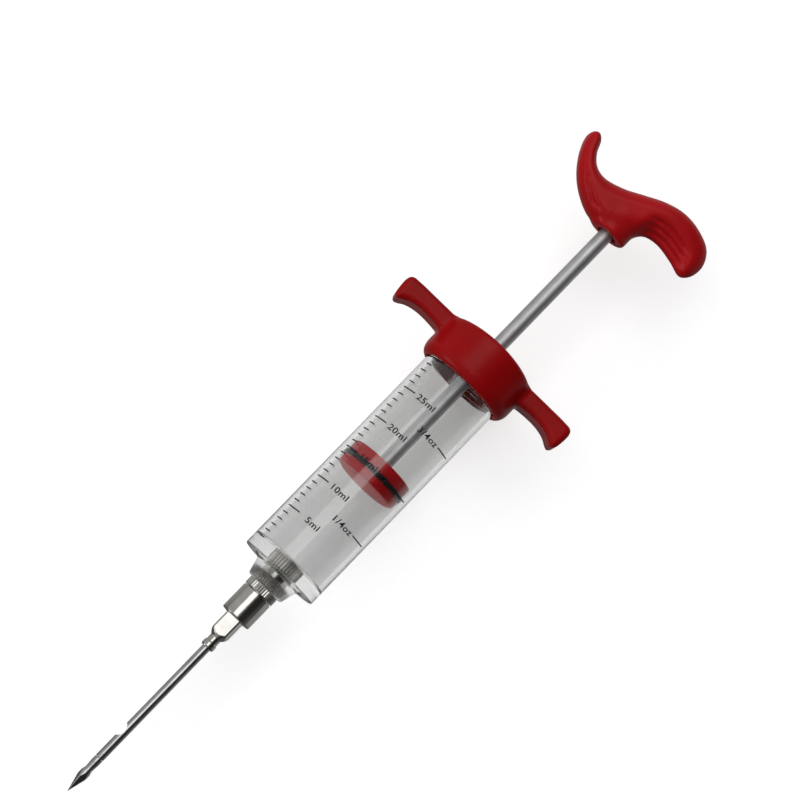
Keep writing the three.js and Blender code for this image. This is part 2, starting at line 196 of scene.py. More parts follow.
CLEAR = clear_plastic()
HANDLE_RED = moulded_plastic("handle_red", (0.45, 0.007, 0.010), (0.55, 0.010, 0.014), 0.28)
CAP_RED = moulded_plastic("cap_red", (0.33, 0.003, 0.004), (0.41, 0.005, 0.007), 0.30)
PISTON_RED = moulded_plastic("piston_red", (0.50, 0.006, 0.010), (0.62, 0.010, 0.016), 0.30)
NICKEL = brushed_metal(
    "nickel_plate", (0.42, 0.41, 0.385), (0.56, 0.55, 0.52),
    low=0.08, high=0.20, stretch=(1.0, 1.0, 1.0), scale=900.0,
)
ROD_STEEL = brushed_metal(
    "rod_steel", (0.48, 0.48, 0.485), (0.64, 0.64, 0.645),
    low=0.46, high=0.60, stretch=(0.03, 1.0, 1.0), scale=2600.0,
)
NEEDLE_STEEL = brushed_metal(
    "needle_steel", (0.36, 0.36, 0.365), (0.50, 0.50, 0.505),
    low=0.18, high=0.30, stretch=(0.04, 1.0, 1.0), scale=3200.0,
)
RUBBER = matt("seal_rubber", (0.004, 0.004, 0.004), (0.010, 0.010, 0.010), 0.5, 0.7, 900.0)
SILICONE = matt("washer_silicone", (0.70, 0.68, 0.63), (0.82, 0.80, 0.76), 0.4, 0.6, 600.0)
INK = matt("scale_ink", (0.012, 0.012, 0.013), (0.032, 0.032, 0.034), 0.5, 0.7, 2500.0)


# ---------------------------------------------------------------- meshes


def closed_mesh(name, points, faces):
    """A mesh from millimetre points, with its faces turned outwards."""
    mesh = bpy.data.meshes.new(name)
    mesh.from_pydata(place(points).tolist(), [], faces)
    work = bmesh.new()
    work.from_mesh(mesh)
    bmesh.ops.recalc_face_normals(work, faces=work.faces)
    work.to_mesh(mesh)
    work.free()
    return mesh


def piece(name, points, faces, material, body, nodes=(), crease=35.0):
    """A closed shaded piece that rides on a body and stands for CAD nodes. Edges over crease are sharp."""
    mesh = closed_mesh(name, points, faces)
    mesh.polygons.foreach_set("use_smooth", [True] * len(mesh.polygons))
    mesh.set_sharp_from_angle(angle=math.radians(crease))
    mesh.materials.append(material)
    mesh.update()
    made = linked(name, mesh)
    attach(made, body)
    if nodes:
        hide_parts(*nodes)
    return made


def rounded(corners, closed=False):
    """[station, radius] points with corners given as (station, radius, fillet) turned into arcs."""
    steps = 6
    result = []
    count = len(corners)
    for i, corner in enumerate(corners):
        here = np.array(corner[:2], float)
        fillet = corner[2] if len(corner) > 2 else 0.0
        if fillet == 0.0 or (not closed and i in (0, count - 1)):
            result.append(here)
            continue
        before = np.array(corners[i - 1][:2], float) - here
        after = np.array(corners[(i + 1) % count][:2], float) - here
        reach = 0.49 * min(np.linalg.norm(before), np.linalg.norm(after))
        before /= np.linalg.norm(before)
        after /= np.linalg.norm(after)
        half = math.acos(float(np.clip(before @ after, -1, 1))) / 2
        leg = min(fillet / math.tan(half), reach)
        radius = leg * math.tan(half)
        centre = here + (before + after) / np.linalg.norm(before + after) * radius / math.sin(half)
        start = here + before * leg - centre
        end = here + after * leg - centre
        first = math.atan2(start[1], start[0])
        turn = (math.atan2(end[1], end[0]) - first + math.pi) % (2 * math.pi) - math.pi
        for k in range(steps + 1):
            angle = first + turn * k / steps
            result.append(centre + radius * np.array([math.cos(angle), math.sin(angle)]))
    return result


def dense(points, step, start, end):
    """The same profile with extra points, so that no stretch between start and end is longer than step."""
    result = [np.array(points[0], float)]
    for point in points[1:]:
        point = np.array(point, float)
        last = result[-1]
        inside = min(last[0], point[0]) < end and max(last[0], point[0]) > start
        parts = max(1, math.ceil(np.linalg.norm(point - last) / step)) if inside else 1
        for k in range(1, parts + 1):
            result.append(last + (point - last) * k / parts)
    return result


def revolve(profile, sides, closed=False, shape=None):
    """A profile turned about the axis. shape(station, radius, angle) may change the radius."""
    rows = len(profile)
    stations = np.repeat([p[0] for p in profile], sides)
    radii = np.repeat([p[1] for p in profile], sides)
    angles = np.tile(np.arange(sides) * 2 * math.pi / sides, rows)
    if shape is not None:
        radii = shape(stations, radii, angles)
    points = np.column_stack([stations, radii * np.sin(angles), radii * np.cos(angles)])
    faces = []
    for i in range(rows if closed else rows - 1):
        a, b = i * sides, ((i + 1) % rows) * sides
        for j in range(sides):
            k = (j + 1) % sides
            faces.append((a + j, b + j, b + k, a + k))
    if not closed:
        last = (rows - 1) * sides
        points = np.vstack([points, [[profile[0][0], 0, 0], [profile[-1][0], 0, 0]]])
        faces += [(len(points) - 2, j, (j + 1) % sides) for j in range(sides)]
        faces += [(len(points) - 1, last + (j + 1) % sides, last + j) for j in range(sides)]
    return points, faces


def smooth_step(low, high, value):
    """0 at low, 1 at high, with an eased rise between."""
    t = np.clip((value - low) / (high - low), 0.0, 1.0)
    return t * t * (3 - 2 * t)


def window(value, start, end, ease):
    """1 between start and end, easing to 0 outside."""
    rise = smooth_step(start - ease, start + ease, value)
    return rise * (1 - smooth_step(end - ease, end + ease, value))


def soft_min(a, b, blend):
    """The smaller of two fields, rounded over blend where they meet."""
    h = np.clip(0.5 + 0.5 * (b - a) / blend, 0.0, 1.0)
    return b * (1 - h) + a * h - blend * h * (1 - h)


def soft_max(a, b, blend):
    return -soft_min(-a, -b, blend)


def thread_wave(stations, angles, pitch, depth):
    """Depth of a right-hand thread below its crest, with flattened crests and roots."""
    phase = (stations / pitch + angles / (2 * math.pi)) % 1.0
    flank = np.abs(phase * 2 - 1)
    return depth * smooth_step(0.2, 0.8, flank)


def knurl_wave(angles, teeth, depth, power=1.0):
    """Depth of a straight knurl below its crests. A higher power makes the grooves narrower."""
    phase = (angles * teeth / (2 * math.pi)) % 1.0
    return depth * np.abs(phase * 2 - 1) ** power


def outline_distance(outline, x, y):
    """Signed distance to a closed outline in a plane, negative inside."""
    x, y = np.broadcast_arrays(x, y)
    best = np.full(x.shape, 1e9)
    inside = np.zeros(x.shape, bool)
    for (x0, y0), (x1, y1) in zip(outline, np.roll(outline, -1, axis=0)):
        ex, ey = x1 - x0, y1 - y0
        t = np.clip(((x - x0) * ex + (y - y0) * ey) / (ex * ex + ey * ey), 0, 1)
        best = np.minimum(best, (x - x0 - t * ex) ** 2 + (y - y0 - t * ey) ** 2)
        if ey != 0:
            inside ^= ((y0 <= y) != (y1 <= y)) & (x < x0 + (y - y0) * ex / ey)
    return np.where(inside, -1, 1) * np.sqrt(best)


def line_distance(line, x, y):
    """Distance to an open line in a plane."""
    best = np.full(np.broadcast(x, y).shape, 1e9)
    for (x0, y0), (x1, y1) in zip(line[:-1], line[1:]):
        ex, ey = x1 - x0, y1 - y0
        t = np.clip(((x - x0) * ex + (y - y0) * ey) / (ex * ex + ey * ey), 0, 1)
        best = np.minimum(best, (x - x0 - t * ex) ** 2 + (y - y0 - t * ey) ** 2)
    return np.sqrt(best)


def smooth_loop(points, count, closed=True):
    """A centripetal Catmull-Rom curve through the points."""
    points = [np.array(p, float) for p in points]
    if not closed:
        points = [2 * points[0] - points[1], *points, 2 * points[-1] - points[-2]]
    spans = len(points) if closed else len(points) - 3
    result = []
    for i in range(spans):
        quad = [points[(i + k) % len(points)] for k in ((-1, 0, 1, 2) if closed else (0, 1, 2, 3))]
        knots = [0.0]
        for a, b in zip(quad[:-1], quad[1:]):
            knots.append(knots[-1] + math.sqrt(np.linalg.norm(b - a)))
        for k in range(count):
            t = knots[1] + (knots[2] - knots[1]) * k / count
            level = quad
            for depth in (1, 2, 3):
                blended = []
                for j in range(len(level) - 1):
                    low, high = (knots[j], knots[j + depth]) if depth < 3 else (knots[1], knots[2])
                    blended.append(((high - t) * level[j] + (t - low) * level[j + 1]) / (high - low))
                level = blended
            result.append(level[0])
    if not closed:
        result.append(points[-2])
    return np.array(result)


CORNERS = [(i, j, k) for i in (0, 1) for j in (0, 1) for k in (0, 1)]


def surface_of(field, low, high, step):
    """Points and quads of the surface where field(x, y, z) is 0, inside negative, by surface nets."""
    axes = [np.arange(a, b + step, step) for a, b in zip(low, high)]
    open_grid = np.ix_(*axes)
    values = np.broadcast_to(field(*open_grid), tuple(len(a) for a in axes))
    cells = tuple(n - 1 for n in values.shape)

    def corner(i, j, k):
        return values[i:i + cells[0], j:j + cells[1], k:k + cells[2]]

    total = np.zeros((*cells, 3))
    crossings = np.zeros(cells)
    for a in CORNERS:
        for axis in range(3):
            if a[axis]:
                continue
            b = tuple(1 if n == axis else a[n] for n in range(3))
            va, vb = corner(*a), corner(*b)
            crosses = (va < 0) != (vb < 0)
            share = np.where(crosses, va / np.where(crosses, va - vb, 1.0), 0.0)
            for n in range(3):
                total[..., n] += np.where(crosses, a[n] + (share if n == axis else 0.0), 0.0)
            crossings += crosses
    active = crossings > 0
    index = np.full(cells, -1)
    index[active] = np.arange(int(active.sum()))
    where = np.argwhere(active)
    points = (total[active] / crossings[active][:, None] + where) * step + np.array([a[0] for a in axes])
    faces = []
    for axis in range(3):
        u, v = (axis + 1) % 3, (axis + 2) % 3
        low_side = values[tuple(slice(0, -1) if n == axis else slice(None) for n in range(3))] < 0
        high_side = values[tuple(slice(1, None) if n == axis else slice(None) for n in range(3))] < 0
        for flip, mask in ((False, low_side & ~high_side), (True, ~low_side & high_side)):
            at = np.argwhere(mask)
            keep = (at[:, u] > 0) & (at[:, v] > 0) & (at[:, u] < cells[u]) & (at[:, v] < cells[v])
            at = at[keep]
            ring = []
            for du, dv in ((-1, -1), (0, -1), (0, 0), (-1, 0)):
                cell = at.copy()
                cell[:, u] += du
                cell[:, v] += dv
                ring.append(index[cell[:, 0], cell[:, 1], cell[:, 2]])
            quads = np.column_stack(ring[::-1] if flip else ring)
            faces += quads.tolist()
    reach = 0.6 * step
    probe = 0.02
    moved = points.copy()
    for _ in range(4):
        value = field(*moved.T)
        slope = np.column_stack([
            field(*(moved + nudge).T) - field(*(moved - nudge).T) for nudge in np.eye(3) * probe
        ]) / (2 * probe)
        moved -= slope * (value / np.maximum((slope**2).sum(1), 1e-4))[:, None]
        moved = points + np.clip(moved - points, -reach, reach)
    return moved, faces


# ---------------------------------------------------------------- clear barrel and its print

BARREL_END = 87.0
BORE = 11.45  # radius
OUTSIDE = 13.2  # radius
CAP_THREAD = {"pitch": 1.5, "crest": 13.15, "depth": 0.55, "start": 77.2, "end": 86.4}


def make_barrel():
    """Tube, front wall and neck in one moulding. It is moulded round the metal outlet and runs into it."""
    core = 2.0
    floor = 4.2
    thread = CAP_THREAD
    profile = rounded([
        (-NECK_LENGTH, core), (-NECK_LENGTH, 6.4, 0.5), (-0.9, 7.7, 0.6), (0.0, 9.4, 0.2),
        (0.0, OUTSIDE, 0.45), (thread["start"] - 1.2, OUTSIDE, 0.2),
        (thread["start"] - 0.6, thread["crest"], 0.1), (BARREL_END, thread["crest"], 0.5),
        (BARREL_END, BORE, 0.25), (floor, BORE, 0.9), (floor, core),
    ], closed=True)
    profile = dense(profile, 0.125, thread["start"] - 0.5, thread["end"] + 0.4)

    def shape(stations, radii, angles):
        cut = thread_wave(stations, angles, thread["pitch"], thread["depth"])
        ends = window(stations, thread["start"], thread["end"], 0.5)
        return np.where(radii > (BORE + OUTSIDE) / 2, radii - cut * ends, radii)

    points, faces = revolve(profile, 160, closed=True, shape=shape)
    made = piece("clear_barrel", points, faces, CLEAR, "barrel", ["barrel"], crease=40.0)
    made.visible_shadow = False


INK_LOW, INK_HIGH = OUTSIDE + 0.005, OUTSIDE + 0.055
FIRST_MARK = 3.9
MARK_PITCH = 2.43  # barrel length of one millilitre
QUARTER_OUNCE = 7.393 * MARK_PITCH
# Places round the barrel, in degrees from the top towards +Y.
LINES_END, SHORT_LINES_START, LONG_LINES_START = 63.4, 50.6, 37.3
MILLILITRES_END = 2.6
OUNCE_LINES = (-64.5, -36.0)
OUNCES_END = -32.8
LINE_WIDTH = 0.38
LETTER_HEIGHT = 1.95
LETTER_STRETCH = 1.2  # extra width of the letters
FONT_CAPITAL = 0.72  # height of a capital in Blender's font at size 1


def wrap(points):
    """[station, angle, radius] to station coordinates, the angle in radians from the top towards +Y."""
    stations, angles, radii = np.asarray(points, float).T
    return np.column_stack([stations, radii * np.sin(angles), radii * np.cos(angles)])


def line_mark(station, low_degrees, high_degrees):
    """A line round the barrel, as a thin closed slab."""
    step_degrees = 2.5
    steps = max(4, int((high_degrees - low_degrees) / step_degrees))
    angles = np.radians(np.linspace(low_degrees, high_degrees, steps + 1))
    points = []
    for angle in angles:
        for radius in (INK_LOW, INK_HIGH):
            points += [(station - LINE_WIDTH / 2, angle, radius), (station + LINE_WIDTH / 2, angle, radius)]
    faces = [(0, 1, 3, 2), (4 * steps, 4 * steps + 2, 4 * steps + 3, 4 * steps + 1)]
    for i in range(steps):
        a, b = 4 * i, 4 * i + 4
        faces += [(a, b, b + 1, a + 1), (a + 2, a + 3, b + 3, b + 2)]
        faces += [(a, a + 2, b + 2, b), (a + 1, b + 1, b + 3, a + 3)]
    return wrap(points), faces


def text_mark(text, station, end_degrees):
    """Lettering across the axis, from +Y to -Y with its top towards the handle, ending at end_degrees."""
    curve = bpy.data.curves.new("mark_text", "FONT")
    curve.body = text
    curve.size = 1.0
    curve.extrude = 0.01
    curve.offset = 0.014
    curve.space_character = 1.08
    curve.resolution_u = 4
    holder = linked("mark_text", curve)
    bpy.context.view_layer.update()
    flat = bpy.data.meshes.new_from_object(holder.evaluated_get(bpy.context.evaluated_depsgraph_get()))
    bpy.data.objects.remove(holder)
    bpy.data.curves.remove(curve)
    work = bmesh.new()
    work.from_mesh(flat)
    bpy.data.meshes.remove(flat)
    bmesh.ops.remove_doubles(work, verts=work.verts, dist=1e-5)
    bmesh.ops.triangulate(work, faces=work.faces)
    for _ in range(3):
        long_edges = [e for e in work.edges if e.calc_length() > 0.3]
        if long_edges:
            bmesh.ops.subdivide_edges(work, edges=long_edges, cuts=1)
            bmesh.ops.triangulate(work, faces=work.faces)
    local = np.array([v.co for v in work.verts])
    faces = [tuple(v.index for v in f.verts) for f in work.faces]
    work.free()
    scale = LETTER_HEIGHT / FONT_CAPITAL
    across = (local[:, 0] - local[:, 0].max()) * scale * LETTER_STRETCH
    stations = station + (local[:, 1] - FONT_CAPITAL / 2) * scale
    angles = math.radians(end_degrees) - across / OUTSIDE
    radii = np.where(local[:, 2] > 0, INK_HIGH, INK_LOW)
    return wrap(np.column_stack([stations, angles, radii])), faces


def joined(parts):
    """Several (points, faces) meshes as one."""
    points, faces, base = [], [], 0
    for part_points, part_faces in parts:
        points.append(part_points)
        faces += [tuple(base + i for i in face) for face in part_faces]
        base += len(part_points)
    return np.vstack(points), faces


def make_scale():
    """Printed marks: a line per millilitre, a longer one every fifth, and an ounce scale beside it."""
    ticks = []
    for n in range(31):
        start = LONG_LINES_START if n % 5 == 0 and n else SHORT_LINES_START
        ticks.append(line_mark(FIRST_MARK + MARK_PITCH * n, start, LINES_END))
    for quarter in range(1, 4):
        ticks.append(line_mark(FIRST_MARK + QUARTER_OUNCE * quarter, *OUNCE_LINES))
    points, faces = joined(ticks)
    piece("scale_lines", points, faces, INK, "barrel")
    labels = [text_mark(f"{n}ml", FIRST_MARK + MARK_PITCH * n, MILLILITRES_END) for n in range(5, 30, 5)]
    for quarter, text in enumerate(("1/4oz", "1/2oz", "3/4oz"), start=1):
        labels.append(text_mark(text, FIRST_MARK + QUARTER_OUNCE * quarter, OUNCES_END))
    points, faces = joined(labels)
    piece("scale_numbers", points, faces, INK, "barrel")


make_barrel()
make_scale()


# ---------------------------------------------------------------- metal outlet and needle


def make_outlet():
    """Threaded nozzle, knurled head, and the knurled and grooved shank in the plastic."""
    bore, nozzle, head, band = 1.2, 3.9, 5.2, 3.8
    front, relief, head_front, head_back, rear = -15.1, -9.0, -8.5, -6.1, 4.24
    profile = rounded([
        (front, bore, 0.15), (front, nozzle, 0.5), (relief, nozzle), (relief, 3.2), (head_front, 3.2),
        (head_front, head, 0.22), (head_back, head, 0.22), (head_back, band), (-1.9, band, 0.2),
        (-1.9, 3.1, 0.15), (0.4, 3.1, 0.15), (0.4, band, 0.2), (rear, band, 0.2), (rear, bore, 0.2),
    ], closed=True)
    profile = dense(profile, 0.11, front, relief)

    def shape(stations, radii, angles):
        threads = thread_wave(stations, angles, 1.25, 0.6) * window(stations, front + 0.2, -8.6, 0.35)
        threads = threads * (stations < relief - 0.01)
        on_head = (radii > 4.6) * window(stations, head_front + 0.08, head_back - 0.08, 0.06)
        on_band = (radii > 3.45) * (stations > head_back - 0.1) * (on_head == 0)
        teeth = knurl_wave(angles, 40, 0.18) * on_head + knurl_wave(angles, 30, 0.5, 3.0) * on_band
        return radii - (radii > 2.0) * (threads + teeth)

    points, faces = revolve(profile, 560, closed=True, shape=shape)
    piece("knurled_outlet", points, faces, NICKEL, "barrel", ["outlet_insert"], crease=50.0)


def square_radius(angles, across, turn):
    """Radius of a square section at each angle, for a square turned about the axis."""
    quarter = math.pi / 2
    local = (angles - turn + quarter / 2) % quarter - quarter / 2
    return across / 2 / np.cos(local)


def make_hub():
    """Sleeve, its female thread drawn as a plain bore, square for a spanner, and the beaded neck that grips
    the tube.
    """
    front, square_front, body_front, rear = -30.1, -25.7, -18.15, -8.8
    tube_hole, neck, sleeve, socket_end = 1.45, 1.85, 5.08, -16.9
    across_flats, square_turn = 5.35, math.radians(13.5)
    profile = rounded([
        (front, tube_hole, 0.1), (front, 1.95, 0.2), (-29.6, 2.15, 0.3), (-28.4, 2.15, 0.3),
        (-27.9, neck, 0.3), (-26.2, neck, 0.3), (square_front, 2.3, 0.3), (square_front + 1.5, 3.5, 0.5),
        (body_front - 0.25, 3.5, 0.15), (body_front, 4.2, 0.1), (body_front, sleeve, 0.5), (-12.0, sleeve),
        (rear, sleeve, 0.3), (rear, 4.3, 0.1), (rear - 0.5, 4.05, 0.1), (-15.0, 4.2, 0.1),
        (socket_end, 4.2, 0.1), (socket_end, tube_hole, 0.1),
    ], closed=True)
    profile = dense(profile, 0.16, square_front - 0.2, body_front + 0.1)

    def shape(stations, radii, angles):
        on_square = (stations > square_front - 0.3) & (stations < body_front - 0.12) & (radii > 1.6)
        flats = soft_min(radii, square_radius(angles, across_flats, square_turn), 0.12)
        return np.where(on_square, flats, radii)

    points, faces = revolve(profile, 256, closed=True, shape=shape)
    piece("needle_hub_turned", points, faces, NICKEL, "needle", ["needle_hub"], crease=28.0)


def make_washer():
    """Flat seal washer at the bottom of the hub's socket."""
    front, rear, inner, outer = -16.6, -15.4, 1.5, 3.9
    profile = rounded([
        (front, inner, 0.12), (front, outer, 0.25), (rear, outer, 0.25), (rear, inner, 0.12),
    ], closed=True)
    points, faces = revolve(profile, 96, closed=True)
    piece(
        "seal_washer", points, faces, SILICONE, "needle_seal",
        ["needle_washer"], crease=60.0,
    )


NEEDLE_RADIUS = 1.4
NEEDLE_BORE = 1.0  # radius


def make_needle():
    """Needle tube with a side port, cut as a grinding wheel that reaches the axis would leave it."""
    front, rear = -74.2, -16.95
    port, port_length = -63.85, 4.7
    wheel = ((port_length / 2) ** 2 + NEEDLE_RADIUS**2) / (2 * NEEDLE_RADIUS)
    profile = rounded([
        (front, NEEDLE_BORE, 0.05), (front, NEEDLE_RADIUS, 0.1), (rear, NEEDLE_RADIUS, 0.1),
        (rear, NEEDLE_BORE, 0.05),
    ], closed=True)
    points, faces = revolve(profile, 72, closed=True)
    tube = piece(
        "needle_tube_drawn", points, faces, NEEDLE_STEEL, "needle",
        ["needle_tube"], crease=40.0,
    )
    count = 96
    ring = [(wheel * math.cos(a), wheel * math.sin(a)) for a in np.linspace(0, 2 * math.pi, count + 1)[:-1]]
    half = 2 * NEEDLE_RADIUS
    cutter_points = [(port + x, y + wheel, z) for z in (-half, half) for x, y in ring]
    cutter_faces = [tuple(range(count)), tuple(range(2 * count - 1, count - 1, -1))]
    cutter_faces += [(i, i + count, (i + 1) % count + count, (i + 1) % count) for i in range(count)]
    cutter_mesh = closed_mesh("port_cutter", cutter_points, cutter_faces)
    cutter = linked("port_cutter", cutter_mesh)
    cut = tube.modifiers.new("port", "BOOLEAN")
    cut.object = cutter
    cut.operation = "DIFFERENCE"
    cut.solver = "EXACT"
    bpy.context.view_layer.update()
    result = bpy.data.meshes.new_from_object(tube.evaluated_get(bpy.context.evaluated_depsgraph_get()))
    tube.modifiers.remove(cut)
    tube.data = result
    result.set_sharp_from_angle(angle=math.radians(35))
    bpy.data.objects.remove(cutter)
    bpy.data.meshes.remove(cutter_mesh)


def make_point():
    """Solid point: four ground facets, a waist behind them, and a spigot pressed into the tube."""
    tip, rear, tube_front = -87.2, -79.7, -74.3
    widest, waist, collar, spigot = 1.56, 1.2, 1.38, 0.85
    slope, facet_turn = 0.215, math.radians(22)
    profile = rounded([
        (tip, 0.0), (tip + 0.08, 0.05), (-81.5, widest, 1.5), (rear, widest, 0.4), (-78.4, waist, 1.2),
        (-75.6, collar, 0.6), (tube_front, collar, 0.1), (tube_front, spigot), (-68.5, spigot, 0.3),
        (-68.2, 0.0),
    ])
    profile = dense(profile, 0.14, tip + 0.05, rear)

    def shape(stations, radii, angles):
        quarter = math.pi / 2
        local = (angles - facet_turn) % quarter - quarter / 2
        facets = (stations - tip) * slope / np.cos(local) + 0.04
        return np.where(stations < rear + 0.2, soft_min(radii, facets, 0.05), radii)

    points, faces = revolve(profile, 128, shape=shape)
    piece(
        "needle_point_ground", points, faces, NEEDLE_STEEL, "needle",
        ["needle_point"], crease=24.0,
    )


make_outlet()
make_hub()
make_washer()
make_needle()
make_point()


# ---------------------------------------------------------------- plunger


def make_piston():
    """Piston with the groove for its O-ring and the hole that the rod screws into."""
    front, rear, radius = 36.34, 44.25, 10.75
    groove_front, groove_back, groove_floor = 39.0, 40.6, 9.4
    profile = rounded([
        (front, 0.0), (front, radius, 1.1), (groove_front, radius, 0.12),
        (groove_front, groove_floor, 0.15), (groove_back, groove_floor, 0.15), (groove_back, radius, 0.12),
        (rear, radius, 0.6), (rear, 2.6, 0.25), (40.95, 2.6, 0.1), (40.95, 2.0), (38.1, 2.0), (38.1, 0.0),
    ])
    points, faces = revolve(profile, 144)
    piece("piston_moulded", points, faces, PISTON_RED, "plunger", ["piston"], crease=30.0)


def make_seal():
    """O-ring, its crown flattened a little where it presses on the bore."""
    centre, ring, section, count = 39.8, 10.7, 0.68, 40
    crown = BORE - 0.09
    profile = []
    for k in range(count):
        angle = 2 * math.pi * k / count
        station = centre + section * math.cos(angle) * 1.03
        profile.append((station, min(ring + section * math.sin(angle), crown)))
    points, faces = revolve(profile[::-1], 144, closed=True)
    piece(
        "seal_ring_rubber", points, faces, RUBBER, "seal_ring",
        ["piston_o_ring"], crease=60.0,
    )


def make_rod():
    """Rod with a thinner screwed end in the piston and in the handle."""
    front, front_step, rear_step, rear = 38.4, 41.3, 147.7, 153.0
    radius, end = 2.35, 1.7
    profile = rounded([
        (front, 0.0), (front, end, 0.25), (front_step, end, 0.1), (front_step, radius, 0.3),
        (rear_step, radius, 0.3), (rear_step, end, 0.1), (rear, end, 0.25), (rear, 0.0),
    ])
    points, faces = revolve(profile, 96)
    piece(
        "plunger_rod_steel", points, faces, ROD_STEEL, "plunger",
        ["plunger_rod"], crease=30.0,
    )


HANDLE_DATUM = 141.0  # station from which the outline is measured
HANDLE_FACE = 141.55  # front of the boss
BROAD_EDGE = [(8.2, -19.4), (9.2, -13.3), (8.3, -8.8), (5.3, -5.6), (3.0, -1.0)]
THIN_EDGE = [(0.7, 6.5), (2.0, 11.0), (6.6, 18.0), (12.9, 23.0)]
BROAD_END = (7.0, -24.6)
HANDLE_OUTLINE = [
    (0.6, 3.0), *THIN_EDGE, (18.3, 25.0), (20.6, 24.3), (21.3, 22.6), (20.1, 20.8), (16.2, 18.9),
    (13.4, 16.2), (12.4, 12.6), (14.1, 6.1), (17.2, 0.0), (20.2, -6.1), (21.8, -12.3), (21.3, -18.8),
    (18.6, -25.0), (14.0, -27.6), (9.3, -27.0), BROAD_END, *BROAD_EDGE,
]
GRID_STEP = 0.42  # of the handle and the cap


def make_handle():
    """Palm handle, a rounded S: thin arm curling back, broad arm with finger grooves, boss for the rod."""
    half_depth = 7.0
    boss_radius, boss_length, boss_turn = 5.1, 8.5, 1.2
    recess_radius, recess_depth = 3.4, 1.3
    socket_radius, socket_depth = 2.5, 6.05
    datum = np.array([HANDLE_DATUM, 0.0])
    outline = smooth_loop(HANDLE_OUTLINE, 6) + datum
    broad_edge = smooth_loop([BROAD_END, *BROAD_EDGE], 6, closed=False) + datum
    thin_edge = smooth_loop(THIN_EDGE, 6, closed=False) + datum

    def field(x, y, z):
        # Arms with rounded shoulders, thinner at their ends, the broad one thinner at its finger edge.
        edge = -outline_distance(outline, x, y)
        round_reach = np.clip(1.85 + (23.0 - y) * 0.24, 1.85, 5.0)
        shoulder = 1 - np.clip(edge / round_reach, -2.0, 1.0)
        lean = smooth_step(-1.0, 7.5, line_distance(broad_edge, x, y))
        broad = smooth_step(-4.0, -10.0, y) * smooth_step(-26.0, -20.0, y)
        wedge = 1 - 0.52 * (1 - lean) * broad
        ends = np.sqrt(np.clip(1 - (np.abs(y) / 31.0) ** 2.6, 0.05, 1.0))
        depth = half_depth * ends * wedge
        arms = (z / depth) ** 2 + shoulder**2.2 * np.sign(shoulder) - 1
        # Grooves that run along the finger edges of both arms.
        grooves = 0.0
        for offset, width in ((1.5, 0.5), (3.2, 0.55), (5.0, 0.6)):
            line = np.exp(-(((line_distance(broad_edge, x, y) - offset) / width) ** 2))
            grooves = grooves + line * window(y, -22.5 + offset * 0.4, -8.0 + offset * 0.2, 2.0)
        line = np.exp(-(((line_distance(thin_edge, x, y) - 2.3) / 0.55) ** 2))
        grooves = grooves + 0.8 * line * window(y, 7.5, 16.0, 2.0)
        arms = arms + 0.3 * grooves * smooth_step(1.0, 2.6, np.abs(z))
        # Boss round the rod, with a recess in its face and the rod's socket.
        r = np.sqrt(y * y + z * z)
        inward = x - HANDLE_FACE
        boss = np.maximum(boss_turn - inward, 0) ** 2 + np.maximum(r - boss_radius, 0) ** 2
        boss = np.sqrt(boss) - boss_turn + np.maximum(inward - boss_length, 0)
        body = soft_min(arms * 2.6, boss, 1.6)
        recess = soft_max(r - recess_radius, inward - recess_depth, 0.3)
        socket = soft_min(soft_max(r - socket_radius, inward - socket_depth, 0.1), recess, 0.2)
        return soft_max(body, -socket, 0.3)

    points, faces = surface_of(field, (140.0, -29.0, -8.5), (164.0, 27.0, 8.5), GRID_STEP)
    piece("palm_handle", points, faces, HANDLE_RED, "plunger", ["handle"], crease=50.0)


make_piston()
make_seal()
make_rod()
make_handle()


# ---------------------------------------------------------------- winged grip cap

WING_HALF = [
    (84.2, 14.0), (84.9, 19.0), (84.9, 25.0), (84.0, 28.6), (82.7, 30.9), (82.4, 31.9), (83.2, 32.8),
    (86.0, 33.34), (88.8, 33.34), (90.1, 32.7), (90.6, 31.6),
]


def make_cap():
    """Round cap: mouth with a rounded lip, crowned back, web with the rod hole, two finger wings."""
    front, back, rim, mouth = 77.1, 90.75, 16.26, 13.5
    lip, lip_back = 13.8, 81.0
    web, hole, depth = BARREL_END + 0.3, 2.6, 6.0
    crown, back_turn, wing_turn = 1.25, 1.5, 1.7
    edge = smooth_loop(WING_HALF, 5, closed=False)
    outline = np.vstack([edge, [(back, 28.0), (back, 0.0), (84.2, 0.0)]])

    def rounded_box(a, b, turn):
        corner = np.sqrt(np.maximum(a, 0) ** 2 + np.maximum(b, 0) ** 2)
        return np.minimum(np.maximum(a, b), 0) + corner - turn

    def field(x, y, z):
        r = np.sqrt(y * y + z * z)
        fall = np.minimum(np.abs(y) / rim, 1.05) ** 2
        rear = back + crown * (1 - fall)
        disc = rounded_box(x - rear + back_turn, r - rim + back_turn, back_turn)
        along = np.maximum((lip_back - x) / (lip_back - front), 0)
        out = np.maximum((r - lip) / (rim - lip), 0)
        disc = np.maximum(disc, (np.sqrt(along**2 + out**2) - 1) * (rim - lip))
        flank = outline_distance(outline, x, np.abs(y))
        wings = rounded_box(flank + wing_turn, np.abs(z) - depth + wing_turn, wing_turn)
        body = soft_min(disc, wings, 1.3)
        bore = soft_max(r - mouth, x - web, 0.5)
        rod_hole = r - hole - 0.5 * smooth_step(rear - 0.8, rear, x)
        return soft_max(soft_max(body, -bore, 0.15), -rod_hole, 0.15)

    points, faces = surface_of(field, (76.0, -35.0, -17.5), (93.2, 35.0, 17.5), GRID_STEP)
    piece("winged_cap", points, faces, CAP_RED, "cap", ["grip_cap"], crease=50.0)


make_cap()


# ---------------------------------------------------------------- floor, light and camera

FLOOR_DROP = 0.0125  # leaves room under the tool for the handle to turn


